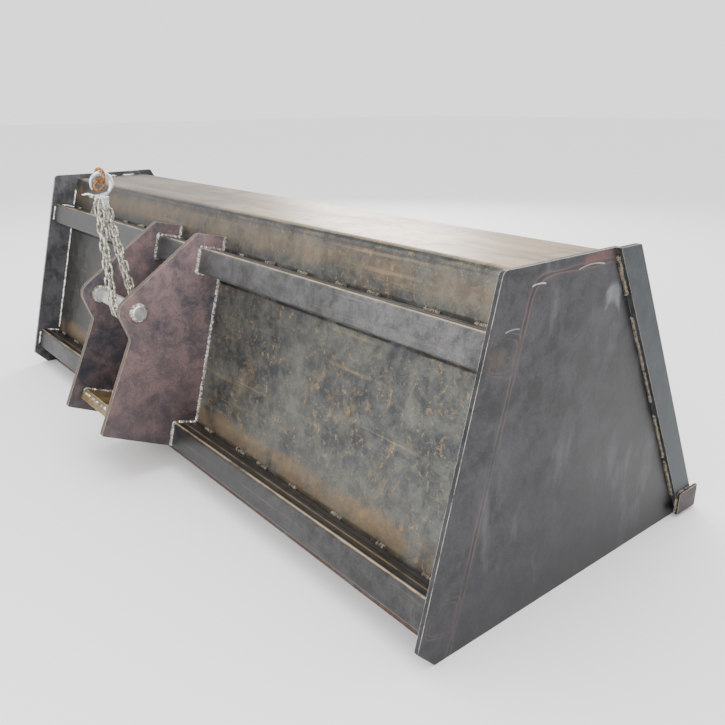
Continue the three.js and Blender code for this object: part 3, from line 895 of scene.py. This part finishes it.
# %% Ear welds
ear_welds = bmesh.new()
ear_seam = [(EAR_TOP, BACK_INSET)]
for foot in (high_foot, low_foot):
    ear_seam += [(foot + TUBE_HEIGHT, BACK_INSET), (foot + TUBE_HEIGHT, TUBE_INSET),
                 (foot, TUBE_INSET), (foot, BACK_INSET)]
ear_seam.pop()
ear_faces = [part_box(f"hitch_ear_{side}")[face].x for side in ("left", "right")
             for face in (0, 1)]
for x in ear_faces:
    bead(ear_welds, [up_rear(up, inward, x) for up, inward in ear_seam], radius=0.0048)
keep(ear_welds, "ear_welds", "bucket", weld_finish)

# %% [markdown]
# ## Welds of the shell
# The back sheet meets the end plates in a full bead between the tubes and above them. The
# top sheet is only stitched on, and so are the floor and the back inside the mouth, where
# the seams are seen from the front. The cutting edge has a full bead along its rear.

# %% Welds between the shell and the end plates
shell_welds = bmesh.new()
SHELL_SEAMS = ((low_foot + TUBE_HEIGHT + 0.01, high_foot - 0.006),
               (high_foot + TUBE_HEIGHT + 0.006, 0.583))
TOP_SEAM = (0.245, 0.436)
for x in (-plate_inner, plate_inner):
    for ends in SHELL_SEAMS:
        bead(shell_welds, [up_rear(up, BACK_INSET, x) for up in ends], radius=0.0042)
    rear_top, front_top = (Vector((x, rear_corner + ahead, TOP_FACE)) for ahead in TOP_SEAM)
    stitches(shell_welds, rear_top, front_top, radius=0.0045, length=0.034, pitch=0.06)
keep(shell_welds, "shell_welds", "bucket", weld_finish)

# %% Welds inside the mouth
inner_welds = bmesh.new()
INNER_BACK = BACK_INSET + SHEET
back_foot = rear_corner + INNER_BACK / math.cos(LEAN)
edge_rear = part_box("floor_sheet")[1].y
seam = {"radius": 0.0045, "length": 0.05}
for x in (-plate_inner + 0.0005, plate_inner - 0.0005):
    stitches(inner_welds, Vector((x, back_foot + 0.03, SHEET)),
             Vector((x, edge_rear, SHEET)), pitch=0.11, **seam)
    stitches(inner_welds, up_rear(0.05, INNER_BACK, x), up_rear(0.54, INNER_BACK, x),
             pitch=0.11, **seam)
bead(inner_welds, [Vector((x, edge_rear, SHEET + 0.001)) for x in (-plate_inner, plate_inner)],
     radius=0.0042, side=Vector((0, 0, 1)))
stitches(inner_welds, Vector((-plate_inner, back_foot + 0.003, SHEET)),
         Vector((plate_inner, back_foot + 0.003, SHEET)), pitch=0.14, **seam)
keep(inner_welds, "mouth_welds", "bucket", dull_weld)

# %% [markdown]
# ## Side bars and corner plates
# The bars down the mouth are lapped outside the end plates and welded along that lap with
# long, low stitches. The small corner plates have a row of short ones along their top.
# Both sides of the bucket are the same, so a sign does for left and right.

# %% Welds of the side bars and corner plates
bar_welds = bmesh.new()
BAR_LAP = 0.009
corner_low, corner_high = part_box("corner_plate_right")
for sign in (-1, 1):
    x = sign * (plate_outer + 0.002)
    stitches(bar_welds, down_front(PLATE_TOP - 0.002, -BAR_LAP - 0.002, x),
             down_front(0.004, -BAR_LAP - 0.001, x), radius=0.0038, length=0.105, pitch=0.124)
    x = sign * (corner_low.x - 0.0005)
    stitches(bar_welds, Vector((x, corner_low.y + 0.004, corner_high.z - 0.0005)),
             Vector((x, corner_high.y - 0.022, corner_high.z - 0.0005)),
             radius=0.004, length=0.016, pitch=0.02)
    bead(bar_welds, [Vector((x, corner_low.y, corner_high.z - 0.01)),
                     Vector((x, corner_low.y, corner_low.z + 0.004))], radius=0.0035)
keep(bar_welds, "side_bar_welds", "bucket", dull_weld)

# %% [markdown]
# ## Tubes
# The stiffeners are square tube with generous corners, which is what catches the light
# along them. Each is a block whose four long edges are bevelled round, then leaned to
# match the back sheet. A Bevel modifier would round the ends too, which are sawn square.

# %% Rounded tubes
TUBE_CORNER = 0.007
for name, foot in TUBE_FEET.items():
    low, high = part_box(name)
    tube = bmesh.new()
    block = Matrix.Diagonal((high.x - low.x, TUBE_HEIGHT, TUBE_HEIGHT, 1))
    bmesh.ops.create_cube(tube, size=1.0, matrix=block)
    long_edges = [edge for edge in tube.edges if abs(edge.verts[0].co.x - edge.verts[1].co.x) > 1]
    bmesh.ops.bevel(tube, geom=long_edges, offset=TUBE_CORNER, offset_type="OFFSET",
                    affect="EDGES", segments=6, profile=0.5, material=-1)
    centre = up_rear(foot + TUBE_HEIGHT / 2, TUBE_INSET + TUBE_HEIGHT / 2)
    leaned = Matrix.Translation(centre) @ Matrix.Rotation(-LEAN, 4, "X")
    bmesh.ops.transform(tube, matrix=leaned, verts=tube.verts)
    keep(tube, f"rounded_{name}", "bucket", finishes["tube"], 50, [name])

# %% [markdown]
# ## Hitch pin
# The pin is a length of bright bar, sawn off and broken at the edges, and welded into both
# ears with a ring of ripples. It is spun from half of its outline round the pin's own axis,
# which gives the broken edges for nothing.

# %% Hitch pin
PIN_BREAK = 0.0016
pin_low, pin_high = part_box("hitch_pin")
pin_centre = centre_of("hitch_pin")
pin_radius = (pin_high.z - pin_low.z) / 2
half_pin = (pin_high.x - pin_low.x) / 2


def turned_bar(outline, centre, steps=48):
    """Spins half an outline, mirrored to both ends, round an axis along X."""
    outline = [(-along, radius) for along, radius in outline] + outline[::-1]
    bm = bmesh.new()
    verts = [bm.verts.new(centre + Vector((along, radius, 0))) for along, radius in outline]
    edges = [bm.edges.new(pair) for pair in zip(verts, verts[1:])]
    bmesh.ops.spin(bm, geom=verts + edges, cent=centre, axis=(1, 0, 0), angle=math.tau,
                   steps=steps, use_merge=True)
    bmesh.ops.remove_doubles(bm, verts=bm.verts, dist=1e-6)
    bmesh.ops.recalc_face_normals(bm, faces=bm.faces)
    return bm


pin_end = [(half_pin, 0), (half_pin, pin_radius - PIN_BREAK), (half_pin - PIN_BREAK, pin_radius)]
keep(turned_bar(pin_end, pin_centre), "hitch_pin_turned", "bucket", bright,
     replaces=["hitch_pin"])

# %% Ring welds round the pin
pin_welds = bmesh.new()
RING_RUNS = 20
RING_REACH = pin_radius + 0.0015
for x in ear_faces:
    ring = []
    for i in range(RING_RUNS + 1):
        turn = math.tau * i / RING_RUNS
        ring.append(Vector((x, pin_centre.y + RING_REACH * math.cos(turn),
                            pin_centre.z + RING_REACH * math.sin(turn))))
    bead(pin_welds, ring, radius=0.0034)
keep(pin_welds, "pin_welds", "bucket", weld_finish)

# %% [markdown]
# ## Shelf welds
# The shelf at the foot of the ears is a plate with a bar under its lip, and is welded to
# both ears at its ends and stitched along the lip. The beads follow the shelf's slope
# because they are laid out from the same rear edge as it is.

# %% Shelf welds
shelf_welds = bmesh.new()
LIP_INWARD = -0.118
shelf_low, shelf_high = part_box("shelf_plate")
for x in (shelf_low.x, shelf_high.x):
    bead(shelf_welds, [Vector((x, shelf_low.y + 0.002, shelf_high.z)),
                       up_rear(0.120, TUBE_INSET, x)], radius=0.0045)
    bead(shelf_welds, [up_rear(0.137, LIP_INWARD, x), up_rear(0.112, LIP_INWARD, x)],
         radius=0.0042)
lip_ends = [up_rear(0.127, LIP_INWARD - 0.001, x) for x in (shelf_low.x, shelf_high.x)]
stitches(shelf_welds, *lip_ends, radius=0.0036, length=0.04, pitch=0.05)
keep(shelf_welds, "shelf_welds", "bucket", weld_finish)

# %% [markdown]
# ## Chain links
# A link is a bent wire: the section is drawn straight, spun half a turn, drawn back and
# spun the other half turn to where it began. A torus pulled long would do from afar, but
# its wire would be thinner along the sides than round the ends.

# %% One oval link
WIRE = 0.0049


def oval_link(wire, bend, straight, round_steps=7, sides=8):
    """A link standing in the XZ plane, centred on the origin, its length along Z."""
    bm = bmesh.new()
    lift = Matrix.Translation((bend, 0, -straight / 2))
    bmesh.ops.create_circle(bm, segments=sides, radius=wire / 2, matrix=lift)
    edges = list(bm.edges)
    for end in (1, -1):
        rim, edges = extrude_rim(bm, edges)
        bmesh.ops.translate(bm, verts=rim, vec=(0, 0, end * straight))
        spun = bmesh.ops.spin(bm, geom=edges, cent=(0, 0, end * straight / 2), axis=(0, -1, 0),
                              angle=math.pi, steps=round_steps)["geom_last"]
        edges = [part for part in spun if isinstance(part, bmesh.types.BMEdge)]
    bmesh.ops.remove_doubles(bm, verts=bm.verts, dist=1e-5)
    bmesh.ops.recalc_face_normals(bm, faces=bm.faces)
    return bm


# %% [markdown]
# ## The path of a chain loop
# Each loop hangs taut between two round pins, so its path is two arcs, round the hitch pin
# below and the load pin above, joined by straight runs that touch both. That is the open
# belt of a school book, and gives each link's place from the distance round the loop.

# %% The path of a chain loop
load_centre = centre_of("load_pin")
LOW_REACH = pin_radius + 0.0086  # from a pin's axis to the middle of the chain round it
HIGH_REACH = 0.0074
run_up = Vector((0, load_centre.y - pin_centre.y, load_centre.z - pin_centre.z))
lean_back = math.atan2(run_up.z, run_up.y)
contact = math.acos((LOW_REACH - HIGH_REACH) / run_up.length)
straight_run = math.sqrt(run_up.length ** 2 - (LOW_REACH - HIGH_REACH) ** 2)
low_arc = LOW_REACH * 2 * (math.pi - contact)
high_arc = HIGH_REACH * 2 * contact
loop_length = low_arc + high_arc + 2 * straight_run
print("chain loop:", round(1000 * loop_length), "mm round")


def loop_point(distance):
    """Where the middle of the chain is, so far round from the rear side of the hitch pin."""
    distance %= loop_length
    centre, reach, along_run = load_centre, HIGH_REACH, 0.0
    if distance < low_arc:
        centre, reach = pin_centre, LOW_REACH
        angle = lean_back + contact + distance / LOW_REACH
    elif distance < low_arc + straight_run:
        centre, reach = pin_centre, LOW_REACH
        angle, along_run = lean_back - contact, distance - low_arc
    elif distance < low_arc + straight_run + high_arc:
        angle = lean_back - contact + (distance - low_arc - straight_run) / HIGH_REACH
    else:
        angle, along_run = lean_back + contact, distance - low_arc - straight_run - high_arc
    out = Vector((0, math.cos(angle), math.sin(angle)))
    along = Vector((0, -out.z, out.y))
    return Vector((0, centre.y, centre.z)) + out * reach + along * along_run, along


# %% [markdown]
# ## Hang the links
# The links of a chain stand a quarter turn from their neighbours and none of them hangs
# quite straight. An array along a curve would place them just as well, but each link
# here gets a small random turn of its own, so a loop that copies one link is simpler.

# %% Hang the links
LINK_WIDTH = 0.0165
LINK_PITCH = 0.0195
LINK_SLACK = 0.0008
SIDE_SHIFT = 0.0006
TURN_SHIFT = 0.16


def chain_loop(name, node, offset, twist):
    x = centre_of(node).x
    count = 2 * round(loop_length / LINK_PITCH / 2)
    pitch = loop_length / count
    bend = (LINK_WIDTH - WIRE) / 2
    link = oval_link(WIRE, bend, pitch + WIRE - 2 * bend - LINK_SLACK)
    pattern = bpy.data.meshes.new("link pattern")
    link.to_mesh(pattern)
    link.free()
    loop = bmesh.new()
    for i in range(count):
        point, along = loop_point((i + offset) * pitch)
        point.x = x + chance.uniform(-SIDE_SHIFT, SIDE_SHIFT)
        turn = twist + (i % 2) * math.pi / 2 + chance.uniform(-TURN_SHIFT, TURN_SHIFT)
        place = facing(point, along, Vector((1, 0, 0))) @ Matrix.Rotation(turn, 4, "Z")
        before = len(loop.verts)
        loop.from_mesh(pattern)
        loop.verts.ensure_lookup_table()
        bmesh.ops.transform(loop, matrix=place, verts=loop.verts[before:])
    bpy.data.meshes.remove(pattern)
    print(count, "links of", round(1000 * pitch, 1), "mm pitch")
    keep(loop, name, "chain", zinc, 60, [node])


chain_loop("chain_links_left", "chain_loop_left", offset=0.15, twist=math.radians(38))
chain_loop("chain_links_right", "chain_loop_right", offset=0.55, twist=math.radians(52))

# %% [markdown]
# ## Hook
# The hook is a forging: a round-ish bar that is thickest at the back of the bowl and runs
# out to a point at the tip. Sculpting would suit a forging too, but a sweep along the
# bowl's arc from the neck to the tip, with a swelling section, keeps it in a few numbers.

# %% Bowl of the hook
BOWL_REACH = 0.0225
BOWL_DRAWN_IN = 0.0016
BOWL_HALF = (0.0052, 0.0064)
NECK_TURN = -0.95
TIP_TURN = 3.62
BOWL_STEPS = 22
TAPER_FROM = 0.48
TAPER = 0.74
bowl_centre = Vector((centre_of("hook_body").x, load_centre.y + 0.002, load_centre.z + 0.0435))


def bowl_point(angle, reach):
    return bowl_centre + Vector((0, reach * math.cos(angle), reach * math.sin(angle)))


neck_foot = Vector((bowl_centre.x, load_centre.y - 0.001, load_centre.z + 0.013))
neck_middle = neck_foot.lerp(bowl_point(-1.0, BOWL_REACH), 0.5)
crook = [(neck_foot, 0.0085, 0.0105), (neck_middle, 0.0062, 0.0082)]
for i in range(BOWL_STEPS + 1):
    share = i / BOWL_STEPS
    angle = NECK_TURN + (TIP_TURN - NECK_TURN) * share
    swell = math.sin(min(1.0, share * 1.5 + 0.32) * math.pi / 2)
    swell *= 1 - TAPER * max(0.0, share - TAPER_FROM) / (1 - TAPER_FROM)
    crook.append((bowl_point(angle, BOWL_REACH - BOWL_DRAWN_IN * share),
                  BOWL_HALF[0] * swell, BOWL_HALF[1] * swell))
hook = sweep(crook, Vector((1, 0, 0)), 14)
print("hook stations:", len(crook))

# %% [markdown]
# ## Fork of the hook
# Below the neck a fork straddles the chain and holds the load pin. It starts as a block
# whose underside is cut into three strips; the two outer strips are drawn down into
# cheeks. Cutting a slot out with a Boolean would work too, but this keeps the faces clean
# for the bevel that rounds all of its corners.

# %% Fork of the hook
CHEEK = 0.0043
FORK_WIDTH = 0.0175
FORK_TOP, FORK_BRIDGE, FORK_FOOT = 0.0205, 0.0152, -0.0065  # above the load pin's axis
CHEEK_TAPER = 0.55
FORK_ROUNDING = 0.0019
hook_low, hook_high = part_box("hook_body")
fork_half = (hook_high.x - hook_low.x) / 2
fork = bmesh.new()
bridge_size = Matrix.Diagonal((2 * fork_half, FORK_WIDTH, FORK_TOP - FORK_BRIDGE, 1))
bridge_place = Matrix.Translation((bowl_centre.x, load_centre.y + 0.0005,
                                   load_centre.z + (FORK_TOP + FORK_BRIDGE) / 2))
bmesh.ops.create_cube(fork, size=1.0, matrix=bridge_place @ bridge_size)
for sign in (-1, 1):
    cut = (bowl_centre.x + sign * (fork_half - CHEEK), 0, 0)
    bmesh.ops.bisect_plane(fork, geom=fork.verts[:] + fork.edges[:] + fork.faces[:],
                           plane_co=cut, plane_no=(1, 0, 0))
fork.normal_update()
cheeks = [face for face in fork.faces if face.normal.z < -0.9
          and abs(face.calc_center_median().x - bowl_centre.x) > fork_half - CHEEK]
for face in bmesh.ops.extrude_discrete_faces(fork, faces=cheeks)["faces"]:
    bmesh.ops.translate(fork, verts=face.verts, vec=(0, 0, FORK_FOOT - FORK_BRIDGE))
    bmesh.ops.scale(fork, verts=face.verts, vec=(1, CHEEK_TAPER, 1),
                    space=Matrix.Translation((0, -load_centre.y, 0)))
bmesh.ops.remove_doubles(fork, verts=fork.verts, dist=1e-6)
fork_corners = [edge for edge in fork.edges if edge.calc_face_angle(0) > 0.5]
bmesh.ops.bevel(fork, geom=fork_corners, offset=FORK_ROUNDING, offset_type="OFFSET",
                affect="EDGES", segments=3, profile=0.5, material=-1)
bmesh.ops.recalc_face_normals(fork, faces=fork.faces)
take_in(hook, fork)
keep(hook, "hook_forging", "hook", hook_coat, 50, ["hook_body"])

# %% [markdown]
# ## Latch
# The latch is a sprung tongue that closes the hook's mouth; here it stands open, pointing
# back. It is swept like the hook, wide and thin at its root and pointed at its tip.

# %% Latch
LATCH_STEPS = 12
LATCH_BOW = 0.0052
latch_low, latch_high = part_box("hook_latch")
latch_axis = centre_of("latch_pin")
latch_root = Vector((bowl_centre.x, latch_axis.y + 0.0062, latch_axis.z - 0.0042))
latch_tip = Vector((bowl_centre.x, latch_low.y + 0.001, latch_high.z - 0.0042))
tongue = []
for i in range(LATCH_STEPS + 1):
    share = i / LATCH_STEPS
    point = latch_root.lerp(latch_tip, share)
    point.z += LATCH_BOW * math.sin(math.pi * min(1.0, share * 1.1)) * (1 - 0.3 * share)
    full = math.sin(math.pi * (0.28 + 0.72 * share) * 0.98)
    tongue.append((point, 0.0012 + 0.0060 * full, 0.0008 + 0.0019 * full))
latch = sweep(tongue, Vector((1, 0, 0)), 12)
keep(latch, "latch_tongue", "latch", hook_coat, 60, ["hook_latch"])

# %% [markdown]
# ## Sling pins
# The load pin and the latch's pin are plain pins, hammered over at both ends into thin
# rounded heads. They are spun like the hitch pin, with a head in the outline.


# %% Sling pins
def headed_pin(name, node, head, head_radius):
    """A plain pin with a thin rounded head at both ends."""
    low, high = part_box(node)
    half, radius = (high.x - low.x) / 2, (high.z - low.z) / 2
    end = [(half, 0), (half, head_radius * 0.7), (half - head * 0.4, head_radius),
           (half - head, head_radius), (half - head, radius)]
    keep(turned_bar(end, centre_of(node), 28), name, "hook", zinc,
         replaces=[node])


headed_pin("load_pin_turned", "load_pin", head=0.0013, head_radius=0.0062)
headed_pin("latch_rivet", "latch_pin", head=0.0010, head_radius=0.0032)

# %% [markdown]
# ## Tag
# The tag is a stamped plate. Its faces are cut into strips, and every second strip is
# inset and raised, where a real tag would carry its stamped lines. The lines say nothing,
# so a picture of letters would only be in the way.

# %% Tag
TAG_TILT = math.radians(30)
TAG_WIDTH, TAG_ABOVE, TAG_BELOW = 0.016, 0.008, 0.024
TAG_GAP = 0.0006
STRIPS = 9
STRIP_MARGIN, STRIP_RISE = 0.0009, 0.0003
tag_low, tag_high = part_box("rating_tag")
tag = bmesh.new()
tag_size = Matrix.Diagonal((tag_high.x - tag_low.x - TAG_GAP, TAG_WIDTH,
                            TAG_ABOVE + TAG_BELOW, 1))
bmesh.ops.create_cube(tag, size=1.0, matrix=tag_size)
for i in range(1, STRIPS):
    height = (i / STRIPS - 0.5) * (TAG_ABOVE + TAG_BELOW)
    bmesh.ops.bisect_plane(tag, geom=tag.verts[:] + tag.edges[:] + tag.faces[:],
                           plane_co=(0, 0, height), plane_no=(0, 0, 1))
tag.normal_update()
strips = [face for face in tag.faces if abs(face.normal.x) > 0.9]
strips.sort(key=lambda face: (face.normal.x, face.calc_center_median().z))
bmesh.ops.inset_individual(tag, faces=strips[1::2], thickness=STRIP_MARGIN, depth=STRIP_RISE)
hang = Matrix.Translation((centre_of("rating_tag").x, load_centre.y, load_centre.z))
drop = Matrix.Translation((0, 0, (TAG_ABOVE - TAG_BELOW) / 2))
bmesh.ops.transform(tag, matrix=hang @ Matrix.Rotation(-TAG_TILT, 4, "X") @ drop,
                    verts=tag.verts)
keep(tag, "stamped_tag", "tag", tag_finish, 30, ["rating_tag"])

# %% [markdown]
# ## Joining links
# Two rusty oval links hang over the bowl of the hook, the second through the first. They
# are made as the chain's links are, in heavier wire.


# %% Joining links
def joining_link(name, node, wire, wide, long, turn):
    bend = (wide - wire) / 2
    link = oval_link(wire, bend, long - wire - 2 * bend, 12, 12)
    place = Matrix.Translation(centre_of(node)) @ turn
    bmesh.ops.transform(link, matrix=place, verts=link.verts)
    keep(link, name, node, link_rust, 60, [node])


upper_turn = Matrix.Rotation(math.radians(22), 4, "Z")
lower_turn = Matrix.Rotation(math.radians(-45), 4, "X") @ Matrix.Rotation(math.pi / 2, 4, "Z")
joining_link("upper_joining_link", "upper_link", 0.006, 0.031, 0.034, upper_turn)
joining_link("lower_joining_link", "lower_link", 0.0055, 0.0216, 0.030, lower_turn)
